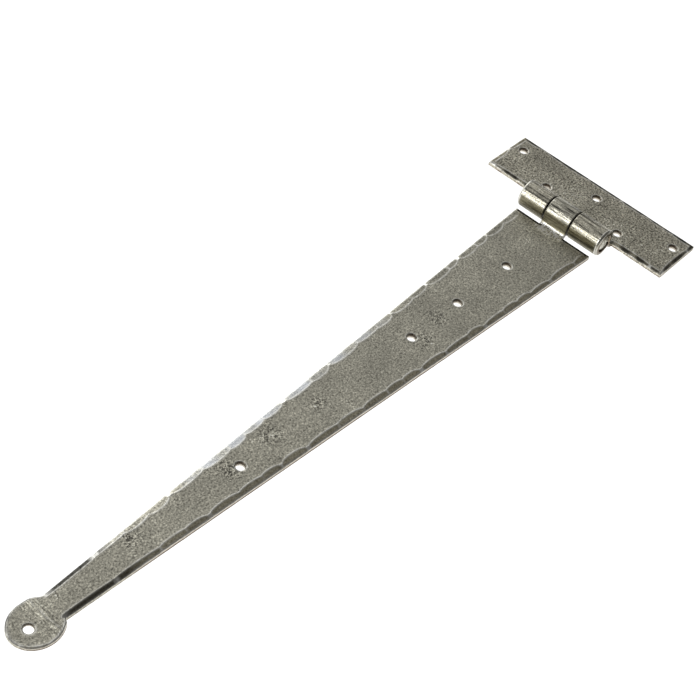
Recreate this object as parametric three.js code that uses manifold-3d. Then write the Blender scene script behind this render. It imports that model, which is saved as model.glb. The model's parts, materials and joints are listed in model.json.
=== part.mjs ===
// A heavy T hinge with a forged look: a cross plate, a long tapering strap and a hinge pin.
//
// Frame: the origin is the centre of the cross plate's back face. +X runs along the strap,
// +Y along the pin, and +Z out of the faces that show when the hinge is screwed to a door.
// The hinge is modelled open and flat. Millimetres.

import * as THREE from 'three';
import { mergeVertices } from 'three/addons/utils/BufferGeometryUtils.js';
import Module from 'manifold-3d';

const wasm = await Module();
wasm.setup();

// --- Driving dimensions ---------------------------------------------------------------

const sheet = 3.2;                // thickness of both leaves
const bevelWidth = 2.1;           // hammered bevel round the front edges, across the face
const bevelDepth = 0.9;           // and down the edge
const holeRadius = 2.6;           // screw holes, for a No. 10 screw
const gap = 0.3;                  // clearance between pieces that move past each other

const plateWidth = 39;            // cross plate, along X
const plateLength = 130;          // along Y
const outerHoleY = 57.15;         // cross plate holes in the far row
const innerHoleY = 26.9;          // and in the row near the barrel
const farRowX = -7;
const nearRowX = 10;

const barrelRadius = 8.75;
const barrelX = 31.3;             // pin axis, which runs along Y at this X
const barrelZ = barrelRadius;     // the barrel's back is level with the leaves' backs
const barrelHalfLength = 29.5;
const seamLow = -10.4;            // middles of the two seams between the knuckles
const seamHigh = 7.9;
const seamWidth = 1.0;
const pinRecess = 0.6;            // how far the pin's ends lie inside the barrel's ends
const barrelBevel = 2.1;          // bevel at the barrel's two outer ends
const rootRadius = 3;             // hollow curve where a leaf turns up into its knuckle

const strapStartX = 41.3;         // square end of the strap, beside the barrel
const strapStartHalf = 27.3;      // its half width there
const strapTaper = 0.048;         // half width lost per millimetre of length
const neckX = 443;                // where the taper meets the penny tip
const pennyX = 454.3;             // centre of the penny, a slightly long round
const pennyY = 0.8;               // which is forged a little off the strap's centreline
const pennyHalfLength = 14.7;     // along X
const pennyHalfWidth = 12.7;      // along Y
const shoulderX = 444.5;          // where the penny's round starts
const pennyThickness = 1.9;       // the penny is forged thinner than the strap
const pennyStepStart = 447.5;     // the front falls to that thickness between these
const pennyStepEnd = 450.5;
const strapHolesX = [89, 136.9, 179.4, 318.3];
const pennyHole = [458.9, 0.9];

// Derived
const boreRadius = barrelRadius - sheet;
const pinRadius = boreRadius - gap;
const curlEnd = 48;               // degrees short of a full turn, where the rolled sheet stops
const facets = 8;                 // degrees per facet of a rolled knuckle
const overlap = 4;                // how far a rolled tongue runs into its leaf before joining

// --- Helpers --------------------------------------------------------------------------

function toSolid(geometry) {
  const bare = geometry.clone();
  bare.deleteAttribute('normal');
  bare.deleteAttribute('uv');
  const merged = mergeVertices(bare, 1e-4);
  return new wasm.Manifold(new wasm.Mesh({
    numProp: 3,
    vertProperties: new Float32Array(merged.attributes.position.array),
    triVerts: new Uint32Array(merged.index.array),
  }));
}

function toGeometry(solid) {
  const mesh = solid.getMesh();
  const geometry = new THREE.BufferGeometry();
  geometry.setAttribute('position', new THREE.BufferAttribute(mesh.vertProperties, 3));
  geometry.setIndex(new THREE.BufferAttribute(mesh.triVerts, 1));
  geometry.computeVertexNormals();
  return geometry;
}

// A flat plate with its back on z = 0 and a bevel round its front edge.
function bevelledPlate(outline) {
  const slab = new THREE.ExtrudeGeometry(outline, {
    depth: sheet,
    bevelEnabled: true,
    bevelThickness: bevelDepth,
    bevelSize: bevelWidth,
    bevelOffset: -bevelWidth,
    bevelSegments: 1,
    curveSegments: 24,
  });
  slab.translate(0, 0, -bevelDepth);
  const room = 2000;
  const below = new THREE.BoxGeometry(room, room, room);
  below.translate(0, 0, -room / 2);
  return toSolid(slab).subtract(toSolid(below));
}

function screwHole(x, y) {
  const drill = new THREE.CylinderGeometry(holeRadius, holeRadius, 4 * sheet, 32);
  drill.rotateX(Math.PI / 2);
  drill.translate(x, y, 0);
  return toSolid(drill);
}

// One knuckle. Its sheet turns up from the leaf's front face, goes over the pin and closes
// behind it, so the leaf's front flows into the barrel. `side` is +1 where the leaf lies on
// the -X side of the pin and -1 where it lies on the +X side; `reach` is how far from the pin
// the tongue starts, inside its leaf. The profile's X runs from the leaf towards the pin.
function rolledKnuckle(reach, side, lowY, highY) {
  const profile = new THREE.Shape();
  const bendX = -(barrelRadius + rootRadius);
  const bendZ = sheet + rootRadius;
  const arc = (centreX, centreZ, radius, from, to) => {
    const steps = Math.ceil(Math.abs(to - from) / facets);
    for (let step = 0; step <= steps; step += 1) {
      const turn = THREE.MathUtils.degToRad(from + ((to - from) * step) / steps);
      profile.lineTo(centreX + radius * Math.cos(turn), centreZ + radius * Math.sin(turn));
    }
  };
  profile.moveTo(-reach, 0);
  arc(bendX, bendZ, rootRadius + sheet, -90, 0);
  arc(0, barrelZ, boreRadius, 180, -180 + curlEnd);
  arc(0, barrelZ, barrelRadius, -180 + curlEnd, 180);
  arc(bendX, bendZ, rootRadius, 0, -90);
  profile.lineTo(-reach, sheet);
  profile.closePath();
  const roll = new THREE.ExtrudeGeometry(profile, { depth: highY - lowY, bevelEnabled: false });
  // The profile's X and Y become the part's X and Z, and the extrusion runs along Y.
  roll.rotateX(Math.PI / 2);
  roll.translate(0, highY, 0);
  if (side < 0) roll.rotateZ(Math.PI).translate(0, lowY + highY, 0);
  roll.translate(barrelX, 0, 0);
  return toSolid(roll);
}

// The rounded envelope of the whole barrel, which bevels its two outer ends.
function barrelEnvelope() {
  const reach = barrelRadius + 0.5;
  const half = barrelHalfLength;
  const profile = [
    [0, -half],
    [barrelRadius - bevelDepth, -half],
    [reach, -half + barrelBevel * (1 + (reach - barrelRadius) / bevelDepth)],
    [reach, half - barrelBevel * (1 + (reach - barrelRadius) / bevelDepth)],
    [barrelRadius - bevelDepth, half],
    [0, half],
  ].map(([radius, y]) => new THREE.Vector2(radius, y));
  const envelope = new THREE.LatheGeometry(profile, 60);
  envelope.translate(barrelX, 0, barrelZ);
  return toSolid(envelope);
}

function finish(name, solid, colour, roughness) {
  const material = new THREE.MeshStandardMaterial({ color: colour, roughness, metalness: 1 });
  const mesh = new THREE.Mesh(toGeometry(solid), material);
  mesh.name = name;
  return mesh;
}

// --- Cross plate ----------------------------------------------------------------------

function crossPlate() {
  const outline = new THREE.Shape();
  outline.moveTo(-plateWidth / 2, -plateLength / 2);
  outline.lineTo(plateWidth / 2, -plateLength / 2);
  outline.lineTo(plateWidth / 2, plateLength / 2);
  outline.lineTo(-plateWidth / 2, plateLength / 2);
  outline.closePath();
  let solid = bevelledPlate(outline);

  const envelope = barrelEnvelope();
  const tongueReach = barrelX - plateWidth / 2 + overlap;
  const knuckles = [
    [-barrelHalfLength, seamLow - seamWidth / 2],
    [seamHigh + seamWidth / 2, barrelHalfLength],
  ];
  for (const [lowY, highY] of knuckles) {
    const roll = rolledKnuckle(tongueReach, 1, lowY, highY);
    const root = new THREE.BoxGeometry(tongueReach, highY - lowY, 2 * (sheet + rootRadius));
    root.translate(barrelX - barrelRadius - tongueReach / 2, (lowY + highY) / 2, 0);
    solid = solid.add(roll.intersect(envelope)).add(roll.intersect(toSolid(root)));
  }

  const holes = [
    [farRowX, -outerHoleY], [farRowX, 0], [farRowX, outerHoleY],
    [nearRowX, -innerHoleY], [nearRowX, innerHoleY],
  ];
  for (const [x, y] of holes) solid = solid.subtract(screwHole(x, y));
  return finish('cross_plate', solid, 0x787569, 0.5);
}

// --- Strap ----------------------------------------------------------------------------

// What the hammer takes off the penny's front: a slope down, then level.
function forgedStep() {
  const beyond = pennyX + 2 * pennyHalfLength;
  const profile = new THREE.Shape();
  profile.moveTo(pennyStepStart, sheet + 1);
  profile.lineTo(pennyStepStart, sheet);
  profile.lineTo(pennyStepEnd, pennyThickness);
  profile.lineTo(beyond, pennyThickness);
  profile.lineTo(beyond, sheet + 1);
  profile.closePath();
  const width = 4 * pennyHalfWidth;
  const cut = new THREE.ExtrudeGeometry(profile, { depth: width, bevelEnabled: false });
  cut.rotateX(Math.PI / 2);
  cut.translate(0, width / 2, 0);
  return toSolid(cut);
}

function strap() {
  const halfAt = (x) => strapStartHalf - strapTaper * (x - strapStartX);
  const meet = Math.acos((pennyX - shoulderX) / pennyHalfLength);
  const outline = new THREE.Shape();
  outline.moveTo(strapStartX, -strapStartHalf);
  outline.lineTo(neckX, -halfAt(neckX));
  outline.absellipse(
    pennyX, pennyY, pennyHalfLength, pennyHalfWidth, meet - Math.PI, Math.PI - meet, false,
  );
  outline.lineTo(neckX, halfAt(neckX));
  outline.lineTo(strapStartX, strapStartHalf);
  outline.closePath();
  let solid = bevelledPlate(outline);

  const lowY = seamLow + seamWidth / 2;
  const highY = seamHigh - seamWidth / 2;
  solid = solid.add(rolledKnuckle(strapStartX + overlap - barrelX, -1, lowY, highY));
  solid = solid.subtract(forgedStep());
  for (const x of strapHolesX) solid = solid.subtract(screwHole(x, 0));
  solid = solid.subtract(screwHole(...pennyHole));
  return finish('strap', solid, 0x868479, 0.48);
}

// --- Hinge pin ------------------------------------------------------------------------

function hingePin() {
  const half = barrelHalfLength - pinRecess;
  const chamfer = 0.6;
  const profile = [
    [0, -half],
    [pinRadius - chamfer, -half],
    [pinRadius, -half + chamfer],
    [pinRadius, half - chamfer],
    [pinRadius - chamfer, half],
    [0, half],
  ].map(([radius, y]) => new THREE.Vector2(radius, y));
  const pin = new THREE.LatheGeometry(profile, 360 / facets);
  pin.translate(barrelX, 0, barrelZ);
  return finish('hinge_pin', toSolid(pin), 0x8f8c80, 0.4);
}

const group = new THREE.Group();
group.add(crossPlate(), strap(), hingePin());

export default group;
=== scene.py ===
"""The looks of a forged T hinge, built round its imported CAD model.

Each leaf is made the way the real one is: a flat blank with hammered edges and punched holes,
whose tongues are then rolled round the pin. Lengths are millimetres in the model's frame, and
become metres when a mesh is made. Lights and the camera are placed in metres.
"""

import json
import math
import random

import bpy
import numpy as np
from mathutils import Matrix, Vector
from mathutils.geometry import delaunay_2d_cdt


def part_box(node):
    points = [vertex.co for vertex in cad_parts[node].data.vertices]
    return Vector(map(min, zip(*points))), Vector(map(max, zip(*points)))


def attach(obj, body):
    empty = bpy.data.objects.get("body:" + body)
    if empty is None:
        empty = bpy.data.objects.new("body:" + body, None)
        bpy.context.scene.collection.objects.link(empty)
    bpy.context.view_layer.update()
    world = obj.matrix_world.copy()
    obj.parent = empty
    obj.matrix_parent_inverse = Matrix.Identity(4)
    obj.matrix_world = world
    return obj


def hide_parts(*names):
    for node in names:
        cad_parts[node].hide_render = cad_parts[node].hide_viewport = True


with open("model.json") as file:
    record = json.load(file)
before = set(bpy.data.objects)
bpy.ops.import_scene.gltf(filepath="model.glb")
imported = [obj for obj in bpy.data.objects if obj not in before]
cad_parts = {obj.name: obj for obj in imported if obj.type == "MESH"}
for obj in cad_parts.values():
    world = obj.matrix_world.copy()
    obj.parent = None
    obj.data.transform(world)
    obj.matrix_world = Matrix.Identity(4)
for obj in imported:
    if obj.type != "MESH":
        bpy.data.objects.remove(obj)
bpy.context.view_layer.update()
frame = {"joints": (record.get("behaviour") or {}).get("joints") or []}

# --- Dimensions, in millimetres -------------------------------------------------------------

MM = 0.001


def box_mm(node):
    low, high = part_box(node)
    return np.array(low) / MM, np.array(high) / MM


plate_low, plate_high = box_mm("cross_plate")
_, strap_high = box_mm("strap")
pin_low, pin_high = box_mm("hinge_pin")
axis_x, _, axis_z = (value / MM for value in frame["joints"][0]["pos_m"])

SHEET = 3.2
BARREL_RADIUS = plate_high[0] - axis_x
PIN_RADIUS = (pin_high[2] - pin_low[2]) / 2
ROOT_RADIUS = 3.0  # hollow curve where a leaf turns up into its knuckle
CURL = math.radians(318)  # how far the sheet goes round the pin
SCARF = 1.6  # the tongue's tip is cut slanting, to close against the back of the bend
SCARF_LENGTH = 3.0  # and the slant starts this far from the tip
HOLE_RADIUS = 2.6

PLATE_EDGE_X = 19.5
PLATE_HOLES = [(-7, -57.15), (-7, 0), (-7, 57.15), (10, -26.9), (10, 26.9)]
BARREL_HALF = 29.5
SEAM_LOW, SEAM_HIGH, SEAM_WIDTH = -10.4, 7.9, 1.0

STRAP_START_X = 41.3
STRAP_START_HALF = 27.3
STRAP_TAPER = 0.048
NECK_X = 443.0
SHOULDER_X = 444.5
PENNY_X, PENNY_Y = 454.3, 0.8
PENNY_HALF_LENGTH = strap_high[0] - PENNY_X
PENNY_HALF_WIDTH = 12.7
PENNY_THICKNESS = 1.9
PENNY_STEP_X = 449.2  # where the front steps down to the penny, on the centreline
STRAP_HOLES = [(89, 0), (136.9, 0), (179.4, 0), (318.3, 0), (458.9, 0.9)]

# The rolled length, measured along the middle of the sheet: a hollow bend, a short upright
# stretch, and the curl round the pin.
MIDDLE_RADIUS = BARREL_RADIUS - SHEET / 2
BEND_LENGTH = (ROOT_RADIUS + SHEET / 2) * math.pi / 2
UPRIGHT_LENGTH = axis_z - SHEET - ROOT_RADIUS
TONGUE_LENGTH = BEND_LENGTH + UPRIGHT_LENGTH + MIDDLE_RADIUS * CURL
BEND_START = BARREL_RADIUS + ROOT_RADIUS  # distance from the pin where the bend starts

# Bevels on edges that aren't hammered, as a width and a depth
SEAM_BEVEL = (0.5, 0.15)
TIP_BEVEL = (0.5, 0.08)
FORGED_DEPTH = 0.25  # an edge whose bevel is deeper than this was forged
CREASE_SPREAD = 0.4  # how far the crease along a hammered bevel's inner side spreads
BEVEL_FADE = 3  # the face's own texture is full this far inside a bevel

BURR_SIDE = np.array((0.6, 0.8))  # the side to which the lower edges are burred most
SHADED_SIDE = np.array((-0.87, -0.49))  # the side of each hole whose rolled-over edge gets a painted shade

STEP = 1.0  # spacing of points along an edge
TONGUE_STEP = 0.75  # and along a tongue, which has to bend smoothly
INNER_STEP = 2.0  # spacing of points away from the edges
NEAREST = 0.1  # points that would come closer than this are dropped
RINGS = (0.14, 0.34, 0.56, 0.78, 0.92, 1.0, 1.08, 1.22, 1.5)  # shares of the bevel's width
HOLE_SIDES = 40
HOLE_RINGS = (0.12, 0.28, 0.5, 0.8, 1.2, 1.8)  # distances of rings outside a hole's edge
HOLE_ROOM = 2.6  # other points stay this far from a hole's edge
# Rows of points down a wall: height as a share of the sheet, and how far a burred edge swells.
WALL_ROWS = ((0.88, 0.1), (0.62, 0.2), (0.42, 0.3), (0.24, 0.5), (0.08, 0.5))


# --- Curves, noise and hammer marks ----------------------------------------------------------


def smooth(share):
    """0 to 1 as the share goes from 0 to 1, level at both ends."""
    share = np.clip(share, 0, 1)
    return share * share * (3 - 2 * share)


def near(distance, reach):
    """1 at no distance, falling evenly to 0 at the reach."""
    return np.clip(1 - distance / reach, 0, 1)


def band(value, middle, spread):
    """1 at the middle, falling off on both sides over about the spread."""
    return np.exp(-(((value - middle) / spread) ** 2))


def waves(seed, scale, count=24):
    """A smooth random field over the plane, about 1 high, with features about `scale` long."""
    rng = random.Random(seed)
    terms = []
    for _ in range(count):
        angle = rng.uniform(0, math.tau)
        rate = math.tau / (scale * rng.uniform(0.7, 1.6))
        terms.append((rate * math.cos(angle), rate * math.sin(angle), rng.uniform(0, math.tau)))

    def field(x, y):
        total = sum(np.sin(kx * x + ky * y + phase) for kx, ky, phase in terms)
        return total / math.sqrt(count)

    return field


class Hammered:
    """A row of overlapping hammer marks along an edge, each with its own width and depth.

    depths is a range, or a function that gives the range at a place. last is a list of marks
    given at the edge's end, as (place, half length, width, depth).
    """

    RIDGE = 0.45  # two marks leave a ridge where their widths differ by less than this

    def __init__(self, length, seed, pitch, widths, depths, last=()):
        rng = random.Random(seed)
        self.marks = []
        place = rng.uniform(0, pitch)
        stop = min((centre - half for centre, half, *_ in last), default=length + pitch)
        while place < stop:
            spacing = pitch * rng.uniform(0.65, 1.4)
            shallow, deep = depths(place) if callable(depths) else depths
            size = rng.uniform(*widths), rng.uniform(shallow, deep)
            self.marks.append((place, spacing * rng.uniform(0.5, 0.57), *size))
            place += spacing
        self.marks += last
        self.floor = 0.6 * widths[0]  # the bevel's width between marks

    def width_at(self, place, centre, half, wide):
        """How wide one mark is at a place: nearly full along most of it, round at its ends."""
        share = max(0, 1 - abs((place - centre) / half) ** 2.6) ** 0.7
        return self.floor + (wide - self.floor) * share

    def at(self, place):
        """The bevel's width and depth, and how near the place is to a ridge between marks."""
        found = sorted((self.width_at(place, *mark), deep) for *mark, deep in self.marks)
        (second, _), (best, deep) = found[-2:]
        return best, deep, max(0.0, 1 - (best - second) / self.RIDGE)


# --- Blanks ----------------------------------------------------------------------------------


class Outline:
    """A closed outline, anticlockwise.

    Each point carries its bevel's width and depth, how near it is to a ridge, and a value for its
    hammer marks: above 0 it darkens them, as grime in places and as a painted shade at the
    strap's square ends; below 0 it paints a silver reflection on them.
    """

    def __init__(self):
        self.points, self.values = [], []

    def add(self, point, edge, place, grime_shade_sheen):
        """edge is a hammered edge, or a plain bevel's width and depth."""
        wide, deep, ridge = edge.at(place) if isinstance(edge, Hammered) else (*edge, 0.0)
        self.points.append(point)
        self.values.append([wide, deep, ridge, grime_shade_sheen(place) if callable(grime_shade_sheen) else grime_shade_sheen])

    def line(self, start, end, edge, step=STEP, grime_shade_sheen=0.0, back_to_front=False):
        """Points from start up to, but not including, end."""
        length = math.dist(start, end)
        count = max(1, round(length / step))
        for i in range(count):
            share = i / count
            point = [a + (b - a) * share for a, b in zip(start, end)]
            self.add(point, edge, length * (1 - share if back_to_front else share), grime_shade_sheen)

    def ellipse(self, centre, half_x, half_y, start, end, edge, grime_shade_sheen=0.0):
        """Points along part of an ellipse, from one angle up to, but not including, another."""
        length = abs(end - start) * (half_x + half_y) / 2
        count = round(length / STEP)
        for i in range(count):
            angle = start + (end - start) * i / count
            point = [centre[0] + half_x * math.cos(angle), centre[1] + half_y * math.sin(angle)]
            self.add(point, edge, length * i / count, grime_shade_sheen)

    def arrays(self):
        return np.array(self.points), np.array(self.values)


def nearest_edge(xy, points, values):
    """For each place: its distance to the outline, and the outline's values there."""
    start, end = points, np.roll(points, -1, axis=0)
    along = end - start
    size = (along**2).sum(1)
    distances, found = [], []
    chunk = 1500
    for first in range(0, len(xy), chunk):
        part = xy[first : first + chunk]
        share = np.clip(((part[:, None] - start) * along).sum(2) / size, 0, 1)
        foot = start + share[..., None] * along
        away = np.sqrt(((part[:, None] - foot) ** 2).sum(2))
        best = away.argmin(1)
        rows = np.arange(len(part))
        t = share[rows, best][:, None]
        distances.append(away[rows, best])
        found.append(values[best] * (1 - t) + np.roll(values, -1, axis=0)[best] * t)
    return np.concatenate(distances), *np.concatenate(found).T


def inside(xy, points):
    """Whether each place lies inside the outline."""
    start, end = points, np.roll(points, -1, axis=0)
    x, y = xy[:, :1], xy[:, 1:]
    crosses = (start[:, 1] > y) != (end[:, 1] > y)
    rise = np.where(end[:, 1] == start[:, 1], 1, end[:, 1] - start[:, 1])
    at = start[:, 0] + (y - start[:, 1]) / rise * (end[:, 0] - start[:, 0])
    return (crosses & (x < at)).sum(1) % 2 == 1


def in_tongue(xy, tongue_rows):
    """Whether each place lies where the tongue's own rows of points already are."""
    low, high = tongue_rows.min(0), tongue_rows.max(0)
    return ((xy > low - 1) & (xy < high + 1)).all(1)


def clear_of(hole, spots):
    """The spots that leave room for a hole's own rings."""
    return spots[np.hypot(*(spots - np.array(hole)).T) > HOLE_RADIUS + HOLE_ROOM]


def ring_points(points, widths):
    """Rows of points inside the outline, at set shares of the bevel's width."""
    before = points - np.roll(points, 1, axis=0)
    after = np.roll(points, -1, axis=0) - points

    def inward(step):
        step = step / np.linalg.norm(step, axis=1)[:, None]
        return np.stack([-step[:, 1], step[:, 0]], axis=1)

    first, second = inward(before), inward(after)
    corner = (first * second).sum(1) < 0.97  # where the outline turns sharply
    middle = (first + second) / (1 + (first * second).sum(1))[:, None]
    rows = []
    for share in RINGS:
        reach = (widths * share)[:, None]
        rows.append(points + middle * reach)
        rows.append((points + first * reach)[corner])
        rows.append((points + second * reach)[corner])
    shares = np.concatenate([np.full(len(row), RINGS[i // 3]) for i, row in enumerate(rows)])
    return np.concatenate(rows), shares


def hole_rings(holes):
    """Circles of points round each hole: the hole's own edge first, then wider ones."""
    turn = np.arange(HOLE_SIDES) / HOLE_SIDES * math.tau
    circle = np.stack([np.cos(turn), np.sin(turn)], axis=1)
    edges = [np.array(hole) + HOLE_RADIUS * circle for hole in holes]
    wider = [
        np.array(hole) + (HOLE_RADIUS + extra) * circle for hole in holes for extra in HOLE_RINGS
    ]
    return edges, np.concatenate(wider)


def inner_grid(low, high):
    """Staggered rows of points over a box."""
    rows = []
    row_step = INNER_STEP * math.sqrt(3) / 2
    for j in range(int((high[1] - low[1]) / row_step)):
        shift = INNER_STEP / 2 * (j % 2)
        xs = np.arange(low[0] + shift, high[0], INNER_STEP)
        rows.append(np.stack([xs, np.full(len(xs), low[1] + (j + 0.5) * row_step)], axis=1))
    return np.concatenate(rows)


def thin_out(candidates):
    """Drops points that come too close to an earlier one."""
    taken, kept = {}, []
    for point in candidates:
        cell = (math.floor(point[0] / NEAREST), math.floor(point[1] / NEAREST))
        others = (
            other
            for dx in (-1, 0, 1)
            for dy in (-1, 0, 1)
            for other in taken.get((cell[0] + dx, cell[1] + dy), ())
        )
        if all(math.dist(point, other) >= NEAREST for other in others):
            taken.setdefault(cell, []).append(point)
            kept.append(point)
    return kept


def inner_points(points, values, holes, tongue_rows, extra_rows):
    """The points inside a blank: along its bevels, over its face and along its tongues."""
    rings, shares = ring_points(points, values[:, 0])
    distance, width, *_ = nearest_edge(rings, points, values)
    rings = rings[distance > shares * width * 0.93]  # not where another edge is nearer

    field = inner_grid(points.min(0), points.max(0))
    field = np.concatenate([tongue_rows, field[~in_tongue(field, tongue_rows)]])
    distance, width, *_ = nearest_edge(field, points, values)
    field = field[(distance > RINGS[-1] * width + 0.4) & inside(field, points)]

    for hole in holes:
        field, rings = clear_of(hole, field), clear_of(hole, rings)
    if extra_rows is not None:
        rings = np.concatenate([rings, extra_rows[inside(extra_rows, points)]])
    return rings, field


def triangulate(outline, holes, tongue_rows, extra_rows):
    """Triangles over the blank. Returns the places, the triangles, and the loops round them."""
    points, values = outline.arrays()
    rings, field = inner_points(points, values, holes, tongue_rows, extra_rows)
    edges, wider = hole_rings(holes)
    places, loops = [], []
    for loop in (points, *edges):
        loops.append(list(range(len(places), len(places) + len(loop))))
        places += [tuple(p) for p in loop]
    places += thin_out([tuple(p) for p in np.concatenate([wider, rings, field])])
    inside_only, tolerance = 1, 1e-5
    result = delaunay_2d_cdt([Vector(p) for p in places], [], loops, inside_only, tolerance)
    verts, _, faces, orig_verts, _, orig_faces = result
    outline_only = [0]  # the loops that own a triangle: one in a hole is the hole's as well
    new_index = {old: new for new, olds in enumerate(orig_verts) for old in olds}
    triangles = [face for face, owner in zip(faces, orig_faces) if owner == outline_only]
    loops = [[new_index[i] for i in loop] for loop in loops]
    return np.array([tuple(v) for v in verts]), triangles, loops


class Blank:
    """A leaf before it is rolled: the places on it, and what was done to the metal at each.

    relief gives the front's height at a place, and its texture.
    """

    def __init__(self, outline, holes, tongue_rows, relief, extra_rows=None):
        self.xy, self.triangles, self.loops = triangulate(outline, holes, tongue_rows, extra_rows)
        edge = nearest_edge(self.xy, *outline.arrays())
        self.distance, self.width, depth, self.ridge, self.grime_shade_sheen = edge
        self.forged = depth > FORGED_DEPTH
        # How much each place is darkened, by grime in places and by painted shade in others;
        # creases and walls there are painted less pale.
        self.darkened = np.clip(self.grime_shade_sheen, 0, 1)
        self.measure_holes(holes)
        self.shape(depth, relief)

    def measure_holes(self, holes):
        """How far each place is from a hole's edge, and how much it is on the side of a hole whose
        rolled-over edge gets a painted shade.
        """
        self.from_hole, self.shaded_side = np.full(len(self.xy), 1e3), np.zeros(len(self.xy))
        for hole in holes:
            offset = self.xy - np.array(hole)
            away = np.hypot(*offset.T)
            facing = np.clip(offset @ SHADED_SIDE / away, 0, 1)
            self.shaded_side += (away < 2 * HOLE_RADIUS) * facing
            self.from_hole = np.minimum(self.from_hole, away - HOLE_RADIUS)

    def shape(self, depth, relief):
        """The front, hammered down at its edges and rolled over at its holes, and the back."""
        share = np.clip(self.distance / self.width, 0, 1)
        drop = depth * (1 - share) ** 1.1 * (1 - 0.12 * self.ridge)
        drop = drop + 0.22 * near(self.distance, 0.55) ** 2 * self.forged  # the corner, worn round
        lip = 0.07 * band(self.distance, self.width, CREASE_SPREAD) * self.forged
        rim = 0.6 * near(self.from_hole, 0.7) ** 1.6
        fade = np.clip((self.distance - self.width) / BEVEL_FADE, 0, 1)
        top, texture = relief(*self.xy.T)
        self.front = top - (drop + rim) * (top / SHEET) + lip + texture * (0.35 + 0.65 * fade)
        self.back = 0.25 * near(self.distance, 0.6) ** 2 + 0.3 * near(self.from_hole, 0.4)

    def outer_wall(self, idx, ripple):
        """Rows down the outline's wall, with each place's painted light and shade: a pale sheen on
        forged walls, dark shade on the walls of the seams and tips, and brownish shade low down.
        """
        ring, forged = self.xy[idx], self.forged[idx]
        step = np.roll(ring, -1, axis=0) - np.roll(ring, 1, axis=0)
        outward = np.stack([step[:, 1], -step[:, 0]], axis=1)
        outward /= np.linalg.norm(outward, axis=1)[:, None]
        burred = 0.15 + 0.85 * np.clip(outward @ BURR_SIDE, 0, 1) ** 0.5
        # The forged walls get a painted pale sheen, standing in for the white floor's light, less
        # where darkened; the seams' and tips' walls get painted shade, and the lower pale rows a
        # brownish painted shade.
        pale = forged * (1 - self.darkened[idx])
        for height, bulge in WALL_ROWS:
            swell = bulge * forged * burred * (0.6 + 0.4 * ripple(*ring.T) * height)
            spots = ring + outward * swell[:, None]
            yield spots, height, (pale, 1.0 * ~forged, pale * (height < 0.5))

    def hole_wall(self, idx):
        """The same down a punched hole: painted shade towards the front, and a painted pale sheen
        towards the back, where the floor's light would reach.
        """
        for height, _ in WALL_ROWS:
            dark = np.full(len(idx), smooth((height - 0.25) / 0.4))
            yield self.xy[idx], height, (0.9 * (1 - dark), dark, 0 * dark)

    def solid(self, ripple):
        """The blank's coordinates and faces, and the paint on its walls."""
        count = len(self.xy)
        coords = [np.column_stack([self.xy, level]) for level in (self.front, self.back)]
        faces = [tuple(t) for t in self.triangles]
        faces += [tuple(i + count for i in reversed(t)) for t in self.triangles]
        paints, total = [], 2 * count
        for number, loop in enumerate(self.loops):
            idx = np.array(loop)
            rows = [idx]
            walls = self.hole_wall(idx) if number else self.outer_wall(idx, ripple)
            for spots, height, levels in walls:
                z = self.back[idx] + (self.front[idx] - self.back[idx]) * height
                coords.append(np.column_stack([spots, z]))
                paints.append(np.stack(levels, axis=1))
                rows.append(np.arange(total, total + len(idx)))
                total += len(idx)
            rows.append(idx + count)
            faces += strips(rows, flip=number > 0)
        return np.concatenate(coords), faces, np.concatenate(paints)


def strips(rows, flip):
    """Quads between neighbouring rows of a closed wall."""
    faces = []
    for upper, lower in zip(rows, rows[1:]):
        for i in range(len(upper)):
            j = (i + 1) % len(upper)
            quad = tuple(int(v) for v in (upper[i], lower[i], lower[j], upper[j]))
            faces.append(quad[::-1] if flip else quad)
    return faces


# --- Leaves ----------------------------------------------------------------------------------


def roll(coords, side, follow):
    """Rolls a blank's tongue round the pin. side is +1 where the leaf lies on the pin's -X side
    and -1 where it lies on the +X side. follow is how far each place follows the bend.

    s is a place's distance along the tongue. u and w are where it comes to lie: its distance
    from the pin, towards the leaf, and its height.
    """
    x, y, z = coords.T
    out = side * (axis_x - x)  # distance from the pin before rolling
    s = np.maximum(BEND_START - out, 0)
    above = SHEET - z
    tail = np.clip((s - (TONGUE_LENGTH - SCARF_LENGTH)) / SCARF_LENGTH, 0, 1)
    s = s + SCARF * tail * above / SHEET
    bend = np.minimum(s / BEND_LENGTH, 1) * math.pi / 2
    u = BEND_START - (ROOT_RADIUS + above) * np.sin(bend)
    w = SHEET + ROOT_RADIUS - (ROOT_RADIUS + above) * np.cos(bend)
    w = w + np.clip(s - BEND_LENGTH, 0, UPRIGHT_LENGTH)
    turn = (s - BEND_LENGTH - UPRIGHT_LENGTH) / MIDDLE_RADIUS
    radius = BARREL_RADIUS - above
    u = np.where(turn > 0, radius * np.cos(turn), u)
    w = np.where(turn > 0, axis_z + radius * np.sin(turn), w)
    u = np.where(s > 0, u, out)
    w = np.where(s > 0, w, z)
    u = follow * u + (1 - follow) * out
    w = follow * w + (1 - follow) * z
    return np.stack([axis_x - side * u, y, w], axis=1)


def make_mesh(name, coords, faces, sharp=38):
    """Makes a smooth piece, with creases where faces meet at more than `sharp` degrees."""
    mesh = bpy.data.meshes.new(name)
    mesh.from_pydata([tuple(c * MM) for c in coords], [], faces)
    mesh.validate()
    mesh.update()
    for polygon in mesh.polygons:
        polygon.use_smooth = True
    mesh.set_sharp_from_angle(angle=math.radians(sharp))
    piece = bpy.data.objects.new(name, mesh)
    bpy.context.scene.collection.objects.link(piece)
    return piece


def paint(piece, name, values):
    """Stores a value for each vertex, which the material reads."""
    kind = "FLOAT_VECTOR" if values.ndim == 2 else "FLOAT"
    layer = piece.data.attributes.new(name, kind, "POINT")
    layer.data.foreach_set("vector" if values.ndim == 2 else "value", values.ravel())


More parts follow.
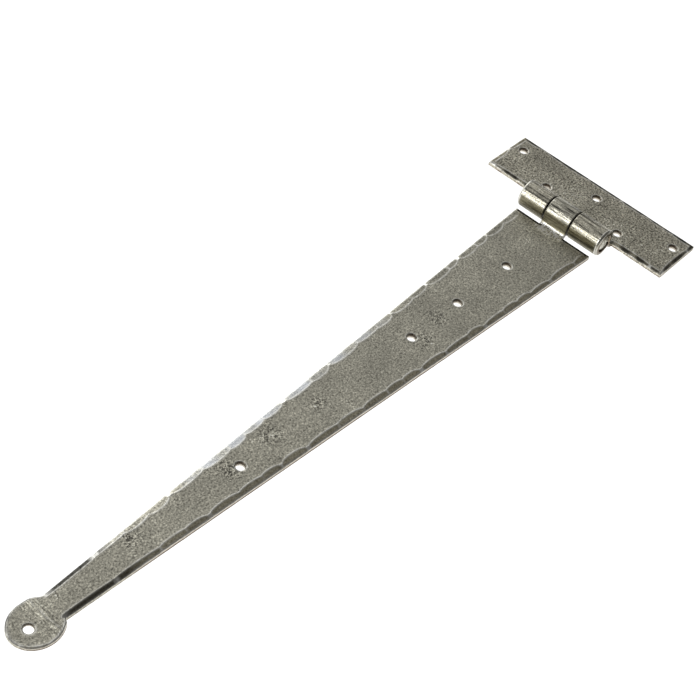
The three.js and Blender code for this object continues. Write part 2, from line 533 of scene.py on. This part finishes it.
def paint_marks(piece, blank, walls, side, extra_crease):
    """Paints wear, dirt and forging marks, which belong to the front, the back or the walls."""
    distance, width = blank.distance, blank.width
    # Pale creases along the hammered bevels, at ridges between marks and along the worn corner:
    # partly wear, partly a painted highlight where these edges catch the light.
    crease = band(distance, width, CREASE_SPREAD) * (1 - 0.5 * blank.darkened)
    crease = np.maximum(crease, blank.ridge * (distance < width))
    crease = np.maximum(crease, band(distance, 0, 0.45) * (1 - blank.darkened)) * blank.forged
    if extra_crease:
        crease = np.maximum(crease, extra_crease(*blank.xy.T))
    scoop = np.clip((width - distance) / 0.3, 0, 1) * blank.forged
    far_edge = (side < 0) & (blank.xy[:, 1] <= 0)  # the strap's far edge has no olive patina
    # Painted shade on one side of each hole's rolled-over edge.
    hole_shade = np.clip(1.2 - blank.from_hole / 0.6, 0, 1) * blank.shaded_side
    pale, dark, wall_low_shade = walls.T

    def lay(name, front=0.0, back=0.0, wall=0.0):
        face = np.zeros(len(blank.xy))
        paint(piece, name, np.concatenate([face + front, face + back, wall + np.zeros(len(walls))]))

    lay("crease", front=crease)
    # The hammer marks' darkening, grime in places and painted shade at the strap's square ends;
    # where it is negative, a painted silver reflection.
    lay("grime_shade_sheen", front=scoop * blank.grime_shade_sheen)
    lay("olive", front=scoop * ~far_edge)
    # A pale ring round each hole, partly wear and partly a painted highlight.
    lay("rim", front=band(blank.from_hole, 0.8, 0.22))
    # A painted pale sheen on the forged walls and low in the holes.
    lay("wall", wall=pale)
    # Painted shade in the holes and seams, and on one side of each hole's edge.
    lay("hole_and_seam_shade", front=hole_shade, wall=dark)
    # A brownish painted shade low on the walls and round the backs' edges.
    lay("under", back=near(distance, 0.6), wall=wall_low_shade)


def paint_roll(piece, x, bent, side, follow, on_front):
    """Paints the rolled part, the barrel's lower band of painted shade on its +X side, and a
    painted highlight on the ramp up to the strap's knuckle, on its front as far as the end of
    the bend."""
    band_shade_top = axis_z + 4.4
    band_shade_deepest = 5.2  # the height below which the painted shade band is at its strongest
    ramp_reach = 7  # how far along the strap's face the ramp's brightness runs out
    ramp_top = SHEET + 2.4
    out = side * (axis_x - x)
    height = bent[:, 2]
    rolled = smooth((BEND_START + 1.5 - out) / 4) * follow
    shaded_band = smooth((band_shade_top - height) / 2.2) * (0.8 + 0.2 * smooth((band_shade_deepest - height) / 2.5))
    if side < 0:  # the ramp gets no painted shade
        shaded_band *= 1 - smooth((SHEET + 2.2 - height) / 1.6)
    ramp_highlight = smooth((BEND_START + ramp_reach - out) / ramp_reach) * follow * (side < 0) * on_front
    ramp_highlight *= 1 - smooth((BEND_START - out - BEND_LENGTH) / 2)
    paint(piece, "rolled", rolled)
    # The painted shade band is laid only on the barrel's +X side, which faces the camera.
    paint(piece, "shaded_band", shaded_band * (bent[:, 0] > axis_x) * rolled)
    # The ramp's painted highlight.
    paint(piece, "ramp_highlight", ramp_highlight * smooth((ramp_top - height) / 1.5))


def build_leaf(name, blank, side, weight, extra_crease=None):
    """Makes a leaf from its blank: the walls round it, then the roll, then the paint."""
    coords, faces, walls = blank.solid(waves(name, 9))
    x, y, _ = coords.T
    follow = weight(x, y)
    bent = roll(coords, side, follow)
    piece = make_mesh(name, bent, faces)
    paint(piece, "blank", coords)
    paint_marks(piece, blank, walls, side, extra_crease)
    paint_roll(piece, x, bent, side, follow, np.arange(len(x)) < len(blank.xy))
    return piece


def tongue_grid(side, low_y, high_y):
    """Rows of points along a tongue, close enough together to bend smoothly."""
    along = np.arange(0.4, TONGUE_LENGTH, TONGUE_STEP)
    x = axis_x - side * (BEND_START - along)
    across = np.linspace(low_y + 0.9, high_y - 0.9, round((high_y - low_y) / 1.3))
    grid = np.meshgrid(x, across)
    return np.stack([g.ravel() for g in grid], axis=1)


def face_texture(dents, ripples, rolled):
    """The height of dents and ripples over a face, fainter where it was rolled."""
    return (0.09 * dents + 0.035 * ripples) * (1 - 0.6 * rolled)


# --- The cross plate -------------------------------------------------------------------------


def cross_plate():
    """A rectangle with two tongues, one for each of the barrel's outer knuckles."""
    left, right = plate_low[0], PLATE_EDGE_X
    low, high = plate_low[1], plate_high[1]
    tip = axis_x - BEND_START + TONGUE_LENGTH
    seam_low, seam_high = SEAM_LOW - SEAM_WIDTH / 2, SEAM_HIGH + SEAM_WIDTH / 2
    knuckle_end = {"widths": (1.0, 1.3), "depths": (0.4, 0.5), "step": TONGUE_STEP}
    out = Outline()

    # Darkens a border's hammer marks by about this amount, varying along it.
    def darkening(amount, seed):
        wobble = waves(seed, 9)
        return lambda place: min(0.9, amount * (1 + 0.45 * float(wobble(place, 0))))

    def border(start, end, seed, grime_shade_sheen, widths=(2.0, 2.7), depths=(0.7, 1.0), step=STEP):
        edge = Hammered(math.dist(start, end), seed, 22, widths, depths)
        out.line(start, end, edge, step, grime_shade_sheen)

    border((left, low), (right, low), 1, darkening(0.35, "a"), (2.3, 3.0), (0.45, 0.6))
    border((right, low), (right, -BARREL_HALF), 2, darkening(0.7, "b"))
    border((right, -BARREL_HALF), (tip, -BARREL_HALF), 3, 0.3, **knuckle_end)
    out.line((tip, -BARREL_HALF), (tip, seam_low), TIP_BEVEL, TONGUE_STEP)
    out.line((tip, seam_low), (right, seam_low), SEAM_BEVEL, TONGUE_STEP)
    out.line((right, seam_low), (right, seam_high), (1.6, 0.7), grime_shade_sheen=0.4)
    out.line((right, seam_high), (tip, seam_high), SEAM_BEVEL, TONGUE_STEP)
    out.line((tip, seam_high), (tip, BARREL_HALF), TIP_BEVEL, TONGUE_STEP)
    border((tip, BARREL_HALF), (right, BARREL_HALF), 4, 0.3, **knuckle_end)
    border((right, BARREL_HALF), (right, high), 5, darkening(0.7, "c"))
    border((right, high), (left, high), 6, darkening(0.5, "d"))
    border((left, high), (left, low), 7, darkening(0.85, "e"), (2.6, 3.2), (0.4, 0.55))

    dents, ripples = waves("plate dents", 26), waves("plate ripples", 8)

    def relief(x, y):
        return SHEET, face_texture(dents(x, y), ripples(x, y), smooth((x - right) / 6))

    def weight(x, y):
        return np.ones(len(x))

    tongues = [tongue_grid(1, -BARREL_HALF, seam_low), tongue_grid(1, seam_high, BARREL_HALF)]
    blank = Blank(out, PLATE_HOLES, np.concatenate(tongues), relief)
    return build_leaf("cross_plate_forged", blank, 1, weight)


# --- The strap -------------------------------------------------------------------------------


def step_line(y):
    """Where the penny starts, as a line that bows across the neck."""
    return PENNY_STEP_X - 1.2 * (y / PENNY_HALF_WIDTH) ** 2 + 0.3 * np.sin(y * 0.8)


def strap():
    """A long taper with a penny at its tip. Its near edge is the one on the camera's side, +Y."""
    low_y, high_y = SEAM_LOW + SEAM_WIDTH / 2, SEAM_HIGH - SEAM_WIDTH / 2
    tip = axis_x + BEND_START - TONGUE_LENGTH
    meet = math.acos((PENNY_X - SHOULDER_X) / PENNY_HALF_LENGTH)
    shoulder_y = PENNY_HALF_WIDTH * math.sin(meet)
    neck_y = STRAP_START_HALF - STRAP_TAPER * (NECK_X - STRAP_START_X)
    length = math.dist((NECK_X, neck_y), (STRAP_START_X, STRAP_START_HALF))

    near_edge = Hammered(
        length, 21, 18, (3.0, 3.9), (0.7, 1.0),
        [(length - 45, 16, 2.8, 1.0), (length - 17, 19, 2.4, 1.0)],
    )
    far_edge = Hammered(
        length, 34, 17, (3.4, 4.6), lambda place: (0.35, 0.6) if place < 190 else (0.5, 0.95),
        [(length - 44, 15, 2.4, 0.9), (length - 18, 18, 2.6, 0.9)],
    )
    round_penny = 75  # enough marks to go all the way round it
    penny_edge = Hammered(round_penny, 40, 11, (0.8, 1.1), (0.26, 0.32))
    square, notch = (2.6, 0.45), (0.8, 0.4)
    wobble = waves("neck", 14)

    def neck_darkening(place):
        return 0.9 * float(smooth((place - length + 48) / 12))

    def far_darkening_and_sheen(place):
        """Darker at the wide end, and a painted silver reflection in patches along the middle,
        which is negative.
        """
        wide_end = 0.3 * (1 - float(smooth((place - 90) / 50)))
        sheen_zone = float(smooth((place - 120) / 60) * smooth((310 - place) / 12))
        patch = min(0.9, max(0.2, 0.65 + 0.4 * float(wobble(place, 0))))
        return wide_end + neck_darkening(place) - sheen_zone * patch

    def near_darkening(place):
        return 0.8 * neck_darkening(place)

    def penny_darkening(place):
        """Darker on the far side, where the outline of the penny starts."""
        return 1.0 - 0.8 * float(smooth((place - 30) / 14))

    out = Outline()
    far_corner, near_corner = (STRAP_START_X, -STRAP_START_HALF), (STRAP_START_X, STRAP_START_HALF)
    out.line(far_corner, (NECK_X, -neck_y), far_edge, grime_shade_sheen=far_darkening_and_sheen)
    out.line((NECK_X, -neck_y), (SHOULDER_X, PENNY_Y - shoulder_y), notch, 0.4, 0.5)
    out.ellipse(
        (PENNY_X, PENNY_Y), PENNY_HALF_LENGTH, PENNY_HALF_WIDTH, meet - math.pi, math.pi - meet,
        penny_edge, penny_darkening,
    )
    out.line((SHOULDER_X, PENNY_Y + shoulder_y), (NECK_X, neck_y), notch, 0.4, 0.5)
    out.line((NECK_X, neck_y), near_corner, near_edge, grime_shade_sheen=near_darkening, back_to_front=True)
    # The square end's bevel is painted fully dark: a painted shade along the gap beside the barrel.
    out.line(near_corner, (STRAP_START_X, high_y), square, grime_shade_sheen=1.0)
    out.line((STRAP_START_X, high_y), (tip, high_y), SEAM_BEVEL, TONGUE_STEP)
    out.line((tip, high_y), (tip, low_y), TIP_BEVEL, TONGUE_STEP)
    out.line((tip, low_y), (STRAP_START_X, low_y), SEAM_BEVEL, TONGUE_STEP)
    # The other square end's bevel, painted fully dark in the same way: a painted shade.
    out.line((STRAP_START_X, low_y), far_corner, square, grime_shade_sheen=1.0)

    dents, ripples = waves("strap dents", 30), waves("strap ripples", 8)

    def relief(x, y):
        rolled = smooth((STRAP_START_X + 2 - x) / 6)
        penny = smooth((x - step_line(y) + 0.5) / 5)
        top = SHEET - (SHEET - PENNY_THICKNESS) * penny
        return top, face_texture(dents(x, y), ripples(x, y), rolled)

    def weight(x, y):
        """The tongue follows the bend, and the square end beside it doesn't."""
        beside = np.maximum(np.maximum(low_y - y, y - high_y), 0)
        return 1 - smooth(beside / 2.5)

    # A pale line along the penny's step, partly a painted highlight where the step catches the
    # light.
    def step_crease(x, y):
        return band(x - step_line(y), 0.2, 0.4) * np.clip(0.35 + 0.25 * ripples(9, 4 * y), 0.1, 0.7)

    across = np.arange(-PENNY_HALF_WIDTH, PENNY_HALF_WIDTH, 0.7)
    step_rows = np.concatenate(
        [
            np.stack([step_line(across) + ahead, across], axis=1)
            for ahead in np.arange(-0.9, 4.8, 0.6)
        ]
    )
    blank = Blank(out, STRAP_HOLES, tongue_grid(-1, low_y, high_y), relief, step_rows)
    return build_leaf("strap_forged", blank, -1, weight, step_crease)


# --- The pin ---------------------------------------------------------------------------------


def hinge_pin():
    """A plain rod, its ends a little domed and peened, with two shallow grooves in each."""
    half = pin_high[1]
    sides, lengths = 72, 6
    face_radius = 4.6  # inside this, the end face has small dings
    end = [
        (0.0, 0.3), (1.3, 0.28), (1.7, 0.1), (2.1, 0.3), (2.9, 0.28), (3.3, 0.08), (3.7, 0.22),
        (4.3, 0.1), (4.8, -0.25), (PIN_RADIUS, -1.0),
    ]
    profile = [(radius, half + rise) for radius, rise in end]
    shoulder = profile[-1][1]
    profile += [(PIN_RADIUS, shoulder - k * shoulder / lengths) for k in range(1, lengths)]
    mirrored = [(radius, -y) for radius, y in reversed(profile)]
    profile += [(PIN_RADIUS, 0.0)] + mirrored
    dings = waves("pin", 2.6)
    coords, faces = [(0.0, profile[0][1], 0.0)], []
    for radius, y in profile[1:-1]:
        for k in range(sides):
            turn = math.tau * k / sides
            x, z = radius * math.cos(turn), radius * math.sin(turn)
            ding = 0.08 * abs(float(dings(x + y, z))) * (radius < face_radius)
            coords.append((x, y - ding * math.copysign(1, y), z))
    coords.append((0.0, profile[-1][1], 0.0))
    rings = len(profile) - 2
    for k in range(sides):
        n = (k + 1) % sides
        faces.append((0, 1 + n, 1 + k))
        for r in range(rings - 1):
            a, b = 1 + r * sides, 1 + (r + 1) * sides
            faces.append((a + k, a + n, b + n, b + k))
        last = 1 + (rings - 1) * sides
        faces.append((last + k, last + n, len(coords) - 1))
    placed = np.array(coords) + np.array([axis_x, 0, axis_z])
    return make_mesh("hinge_pin_peened", placed, faces, sharp=60)


# --- Materials -------------------------------------------------------------------------------


def linear(red, green, blue):
    """A colour given as 0 to 255 sRGB, as the linear values that a shader takes."""
    channels = []
    for value in (red, green, blue):
        c = value / 255
        channels.append(c / 12.92 if c <= 0.04045 else ((c + 0.055) / 1.055) ** 2.4)
    return (*channels, 1.0)


PLATE_GREY = linear(174, 170, 155)
STRAP_GREY = linear(180, 177, 163)
WORN_HIGHLIGHT = linear(250, 249, 242)  # creases, ridges and the rims of holes: partly wear, partly a painted highlight
SILVER_SHEEN = linear(226, 230, 236)  # a painted reflection of the room's bright side, in the far edge's hammer marks
OLIVE = linear(158, 147, 112)  # the patina in the hammer marks
BAND_SHADE = linear(104, 98, 75)  # painted shade: the barrel's lower band, olive-tinted
# a painted pale sheen on the forged walls and low in the holes, standing in for the white floor's
# light
WALL_SHEEN = linear(222, 214, 200)
UNDER_SHADE = linear(92, 68, 46)  # painted shade, brownish: low on the walls, and round the backs
# painted shade in the holes and seams, and on the shaded side of each hole's edge
GAP_SHADE = linear(58, 42, 29)
PIN_DARK, PIN_BRIGHT = linear(160, 156, 142), linear(228, 226, 214)
# painted shade on the middle of the pin, inside the barrel, so the seams read dark
PIN_SHADE = linear(34, 30, 24)


class Nodes:
    """Short names for building the nodes of a material or a world."""

    def __init__(self, owner):
        owner.use_nodes = True
        self.tree = owner.node_tree

    def add(self, kind, inputs=None, **settings):
        node = self.tree.nodes.new(kind)
        for key, value in settings.items():
            setattr(node, key, value)
        for key, value in (inputs or {}).items():
            self.put(node.inputs[key], value)
        return node

    def put(self, socket, value):
        if isinstance(value, bpy.types.NodeSocket):
            self.tree.links.new(value, socket)
        else:
            socket.default_value = value

    def math(self, operation, a, b=0.0, clamp=False):
        node = self.add("ShaderNodeMath", operation=operation, use_clamp=clamp)
        self.put(node.inputs[0], a)
        self.put(node.inputs[1], b)
        return node.outputs[0]

    def plus(self, a, b):
        return self.math("ADD", a, b)

    def minus(self, a, b):
        return self.math("SUBTRACT", a, b)

    def times(self, *factors):
        total = factors[0]
        for factor in factors[1:]:
            total = self.math("MULTIPLY", total, factor)
        return total

    def remap(self, value, low, high, new_low=0.0, new_high=1.0):
        node = self.add(
            "ShaderNodeMapRange",
            {"Value": value, "From Min": low, "From Max": high, "To Min": new_low,
             "To Max": new_high},
        )
        return node.outputs["Result"]

    def noise(self, vector, scale, detail=3.0, rough=0.55, distortion=0.0):
        node = self.add(
            "ShaderNodeTexNoise",
            {"Vector": vector, "Scale": scale, "Detail": detail, "Roughness": rough,
             "Distortion": distortion},
        )
        return node.outputs["Fac"]

    def veins(self, vector, scale, half_width, distortion):
        """Thin winding lines, along which a noise is at its middle value."""
        off_middle = self.minus(self.noise(vector, scale, 1.0, 0.5, distortion), 0.5)
        return self.remap(self.math("ABSOLUTE", off_middle), 0.0, half_width, 1.0, 0.0)

    def stretch(self, vector, scale):
        """Coordinates scaled along each axis, which lengthens what is scaled down."""
        return self.add("ShaderNodeMapping", {"Vector": vector, "Scale": scale}).outputs["Vector"]

    def mix(self, share, a, b):
        node = self.add("ShaderNodeMix", data_type="RGBA")
        self.put(node.inputs[0], share)
        self.put(node.inputs[6], a)
        self.put(node.inputs[7], b)
        return node.outputs[2]

    def shade(self, tone, share, amount):
        """Darkens or lightens a colour by a share of itself, never quite to black."""
        factor = self.math("MAXIMUM", self.plus(1.0, self.times(share, amount)), 0.12)
        node = self.add("ShaderNodeVectorMath", {0: tone, "Scale": factor}, operation="SCALE")
        return node.outputs["Vector"]


class Material(Nodes):
    """A material with one shader, and what is common to all of this hinge's metal."""

    def __init__(self, name):
        self.material = bpy.data.materials.new(name)
        super().__init__(self.material)
        self.shader = self.tree.nodes["Principled BSDF"]

    def metal(self, tone, rough, height, strength, depth):
        """Bare metal. height drives a bump, whose depth is in metres."""
        self.put(self.shader.inputs["Base Color"], tone)
        self.put(self.shader.inputs["Metallic"], 1.0)
        self.put(self.shader.inputs["Roughness"], rough)
        bump = self.add(
            "ShaderNodeBump", {"Strength": strength, "Distance": depth, "Height": height}
        )
        self.put(self.shader.inputs["Normal"], bump.outputs["Normal"])


class AntiquedSteel(Material):
    """Steel with a pewter-like patina: fine mottling over soft clouds, worn bright on its edges,
    which is partly a painted highlight.

    It reads the blank's flat coordinates, so the mottling follows the sheet round the barrel.
    spread is the mottling's contrast. patches are places where the surface is pitted, as
    (x, y, radius). hammered_from is the X past which the face carries fine hammer lines.
    """

    def __init__(self, name, base, spread, patches=(), hammered_from=None):
        super().__init__(name)
        self.flat = self.add("ShaderNodeAttribute", attribute_name="blank").outputs["Vector"]
        self.spread = spread
        self.rolled = self.level("rolled")
        self.plain = self.minus(1.0, self.times(self.rolled, 0.6))  # rolling wears the mottling
        self.grain = self.noise(self.flat, 0.95, 3.0, 0.6, 0.5)
        self.fleck = self.remap(self.noise(self.flat, 1.25, 2.0, 0.5), 0.58, 0.7)
        self.streak = self.noise(self.stretch(self.flat, (1.0, 0.06, 1.0)), 1.1, 3.0, 0.65)
        self.streaked = self.times(self.minus(self.streak, 0.5), self.rolled)
        self.height = self.plus(
            self.times(self.noise(self.flat, 0.9, 4.0, 0.65), self.plain),
            self.times(self.streaked, 1.4),
        )
        tone = self.mottled(base)
        if patches:
            tone = self.pitted(tone, patches)
        if hammered_from is not None:
            tone = self.hammer_lines(tone, hammered_from)
        tone, shaded_band = self.barrel(tone)
        tone = self.scoops(tone)
        tone, worn_highlight = self.edges(tone)

        rough = self.remap(self.grain, 0.3, 0.7, 0.56, 0.42)
        rough = self.minus(rough, self.times(worn_highlight, 0.1))
        rough = self.minus(rough, self.times(self.rolled, 0.24))
        rough = self.math("ADD", rough, self.times(shaded_band, 0.15), clamp=True)
        self.metal(tone, rough, self.height, 0.6, 0.0003)

    def level(self, name):
        """A painted layer's value."""
        return self.add("ShaderNodeAttribute", attribute_name=name).outputs["Fac"]

    def mottled(self, base):
        """The face: grain, soft clouds, pale veins, dark flecks and a few scratches."""
        flat, plain, spread = self.flat, self.plain, self.spread
        cloud = self.noise(flat, 0.05, 3.0, 0.5)
        veined = self.remap(self.noise(flat, 0.03, 2.0), 0.42, 0.6, 0.25, 1.0)
        veins = self.times(self.veins(flat, 0.45, 0.05, 1.2), veined)
        scratch = self.times(self.veins(flat, 0.1, 0.006, 0.8), self.remap(cloud, 0.48, 0.6))
        tone = self.shade(base[:3], self.times(self.minus(self.grain, 0.5), plain), 2.7 * spread)
        tone = self.shade(tone, self.minus(cloud, 0.5), 0.45)
        tone = self.shade(tone, self.times(veins, plain), 0.6 * spread)
        tone = self.shade(tone, self.times(self.fleck, plain), -0.4 * spread)
        return self.shade(tone, self.times(scratch, plain), 0.6 * spread)

    def pitted(self, tone, patches):
        """Round patches of dark pits with pale metal between them."""
        within = 0.0
        for x, y, radius in patches:
            away = self.add(
                "ShaderNodeVectorMath", {0: self.flat, 1: (x, y, 0)}, operation="DISTANCE"
            )
            patch = self.remap(away.outputs["Value"], 0.4 * radius, radius, 1.0, 0.0)
            within = self.math("MAXIMUM", within, patch)
        spots = self.noise(self.flat, 0.6, 2.0, 0.6, 1.0)
        tone = self.shade(tone, self.times(within, self.remap(spots, 0.4, 0.48, 1.0, 0.0)), 0.6)
        pits = self.times(within, self.remap(spots, 0.5, 0.58))
        self.height = self.minus(self.height, pits)
        return self.shade(tone, pits, -0.75)

    def hammer_lines(self, tone, start):
        """Fine lines across the leaf, strong at first and then fainter."""
        along = self.add("ShaderNodeSeparateXYZ", {0: self.flat}).outputs[0]
        zone = self.times(
            self.remap(along, start, start + 2),
            self.remap(along, start + 4, start + 11, 1.0, 0.2),
        )
        noise = self.noise(self.stretch(self.flat, (1.0, 0.12, 1.0)), 1.1, 1.0)
        lines = self.times(self.remap(noise, 0.38, 0.62, -0.5, 0.5), zone)
        self.height = self.plus(self.height, self.times(lines, 0.5))
        return self.shade(tone, lines, 0.7)

    def barrel(self, tone):
        """Streaks along the rolled part, its band of painted shade with a ragged edge, and the
        ramp's painted highlight.
        """
        tone = self.shade(tone, self.streaked, 4.6)
        tone = self.shade(tone, self.times(self.fleck, self.rolled), -0.45)
        tone = self.shade(tone, self.rolled, 0.08)
        ragged = self.plus(self.level("shaded_band"), self.minus(self.times(self.streak, 1.2), 0.6))
        shaded_band = self.remap(ragged, 0.28, 0.62)
        tone = self.mix(self.times(shaded_band, 0.85), tone, self.shade(BAND_SHADE[:3], self.streaked, 2.5))
        mottle = self.noise(self.stretch(self.flat, (0.4, 1.0, 1.0)), 1.1, 2.0)
        ramp_highlight = self.times(self.level("ramp_highlight"), self.remap(mottle, 0.4, 0.58))
        return self.shade(tone, ramp_highlight, 3.0), shaded_band

    def scoops(self, tone):
        """The hammer marks' hollows: olive patina, then darker where the value is positive, as
        grime in places and as painted shade at the strap's square ends, and a painted silver
        reflection where it is negative."""
        tone = self.mix(self.times(self.level("olive"), 0.4), tone, OLIVE)
        grime_shade_sheen = self.level("grime_shade_sheen")
        tone = self.shade(tone, self.math("MAXIMUM", grime_shade_sheen, 0.0), -1.0)
        sheen_share = self.math("MAXIMUM", self.times(grime_shade_sheen, -1.0), 0.0)
        return self.mix(self.times(sheen_share, 0.8), tone, SILVER_SHEEN)

    def edges(self, tone):
        """Worn bright lines, partly painted highlights, then the walls' painted pale sheen, the
        brownish painted shade low on the walls and round the backs' edges, and the painted shade
        in the holes and seams.
        """
        worn_highlight = self.math("MAXIMUM", self.level("crease"), self.times(self.level("rim"), 0.8))
        worn_highlight = self.times(worn_highlight, self.remap(self.noise(self.flat, 0.35, 2.0), 0.35, 0.55, 0.5, 1.0))
        tone = self.mix(worn_highlight, tone, WORN_HIGHLIGHT)
        wall_sheen = self.times(self.level("wall"), self.minus(0.8, self.times(self.rolled, 0.5)))
        tone = self.mix(wall_sheen, tone, WALL_SHEEN)
        tone = self.mix(self.times(self.level("under"), 0.9), tone, UNDER_SHADE)
        return self.mix(self.times(self.level("hole_and_seam_shade"), 0.92), tone, GAP_SHADE), worn_highlight


def drawn_steel(name):
    """Plain steel, bright at the rod's two ends, with a painted shade along its middle, inside
    the barrel.
    """
    shaded_to, unshaded_from = 0.0268, 0.0276  # metres from the middle of the rod
    n = Material(name)
    place = n.add("ShaderNodeTexCoord").outputs["Object"]
    grain = n.noise(place, 900.0, 4.0, 0.6)
    along = n.math("ABSOLUTE", n.add("ShaderNodeSeparateXYZ", {0: place}).outputs[1])
    tone = n.mix(n.remap(grain, 0.3, 0.7), PIN_DARK, PIN_BRIGHT)
    tone = n.mix(n.remap(along, shaded_to, unshaded_from, 1.0, 0.0), tone, PIN_SHADE)
    n.metal(tone, n.remap(grain, 0.3, 0.7, 0.5, 0.36), grain, 0.3, 0.0002)
    return n.material


# --- Pieces ----------------------------------------------------------------------------------

PLATE_SPREAD, STRAP_SPREAD = 1.9, 1.15  # contrast of the mottling
PITTED_PATCHES = [  # (x, y, radius) on the strap's face
    (175, 6, 9), (156, 0, 8), (256, -1, 8), (292, -4, 10), (324, -2, 10), (391, -4, 9),
    (439, -4, 5),
]


def place(piece, body, node, slot, material):
    """Gives a piece its material, ties it to its body, and hides the CAD node it replaces."""
    piece.data.materials.append(material)
    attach(piece, body)
    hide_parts(node)


plate_steel = AntiquedSteel("plate_steel", PLATE_GREY, PLATE_SPREAD).material
strap_steel = AntiquedSteel(
    "strap_steel", STRAP_GREY, STRAP_SPREAD, PITTED_PATCHES, NECK_X + 2
).material
place(cross_plate(), "cross_plate", "cross_plate", "plate_steel", plate_steel)
place(strap(), "strap", "strap", "strap_steel", strap_steel)
place(hinge_pin(), "cross_plate", "hinge_pin", "pin_steel", drawn_steel("pin_steel"))


# --- Floor, light and camera ------------------------------------------------------------------

BRIGHT_SIDE = (-0.2, -0.9, 0.4)  # the direction the room is brightest in


def aim(thing, target, turn=0.0):
    """Points a light or camera at a place, then turns it about its own axis."""
    facing = (Vector(target) - thing.location).to_track_quat("-Z", "Y")
    thing.rotation_euler = (facing.to_matrix() @ Matrix.Rotation(turn, 3, "Z")).to_euler()


def floor():
    """A white floor, just below where the strap's tip comes when it hangs straight down."""
    half, clearance = 6.0, 10
    strap_reach = strap_high[0] - axis_x
    height = (axis_z - strap_reach - clearance) * MM
    corners = [(-half, -half), (half, -half), (half, half), (-half, half)]
    mesh = bpy.data.meshes.new("floor")
    mesh.from_pydata([(x, y, height) for x, y in corners], [], [(0, 1, 2, 3)])
    piece = bpy.data.objects.new("floor", mesh)
    bpy.context.scene.collection.objects.link(piece)
    n = Material("floor_white")
    n.put(n.shader.inputs["Base Color"], (0.9, 0.9, 0.9, 1))
    n.put(n.shader.inputs["Roughness"], 0.9)
    n.put(n.shader.inputs["Emission Color"], (1, 1, 1, 1))
    n.put(n.shader.inputs["Emission Strength"], 0.75)
    piece.data.materials.append(n.material)


def softbox(name, where, target, size, power):
    light = bpy.data.lights.new(name, "AREA")
    light.shape = "RECTANGLE"
    light.size, light.size_y = size
    light.energy = power
    thing = bpy.data.objects.new(name, light)
    thing.location = where
    bpy.context.scene.collection.objects.link(thing)
    aim(thing, target)


def studio():
    """A room that is bright on one side, and two softboxes."""
    falloff, bright, dim = 2.5, 0.93, 0.15
    world = bpy.data.worlds.new("studio")
    n = Nodes(world)
    direction = n.add("ShaderNodeTexCoord").outputs["Generated"]
    bright_side = Vector(BRIGHT_SIDE).normalized()
    facing = n.add("ShaderNodeVectorMath", {0: direction, 1: bright_side}, operation="DOT_PRODUCT")
    glow = n.math("POWER", n.math("MAXIMUM", facing.outputs["Value"], 0.0), falloff)
    background = n.tree.nodes["Background"]
    n.put(background.inputs["Strength"], n.plus(n.times(glow, bright), dim))
    n.put(background.inputs["Color"], (1, 1, 1, 1))
    bpy.context.scene.world = world
    centre = (0.2, 0, 0)
    softbox("key", (1.50, -0.47, 0.58), centre, (0.8, 1.1), 7)
    softbox("low_fill", (-0.55, -1.3, 0.24), centre, (1.2, 0.4), 3)


def camera():
    """Looks back along the strap from above, beyond its penny and on its +Y side."""
    lens = bpy.data.cameras.new("camera")
    lens.lens = 86.58
    lens.sensor_width = 36
    lens.clip_end = 50
    thing = bpy.data.objects.new("camera", lens)
    thing.location = (0.7738, 0.3049, 0.6392)
    bpy.context.scene.collection.objects.link(thing)
    aim(thing, (0.2108, -0.0177, 0.0), math.radians(14.60))
    bpy.context.scene.camera = thing


floor()
studio()
camera()
bpy.context.scene.view_settings.view_transform = "Standard"
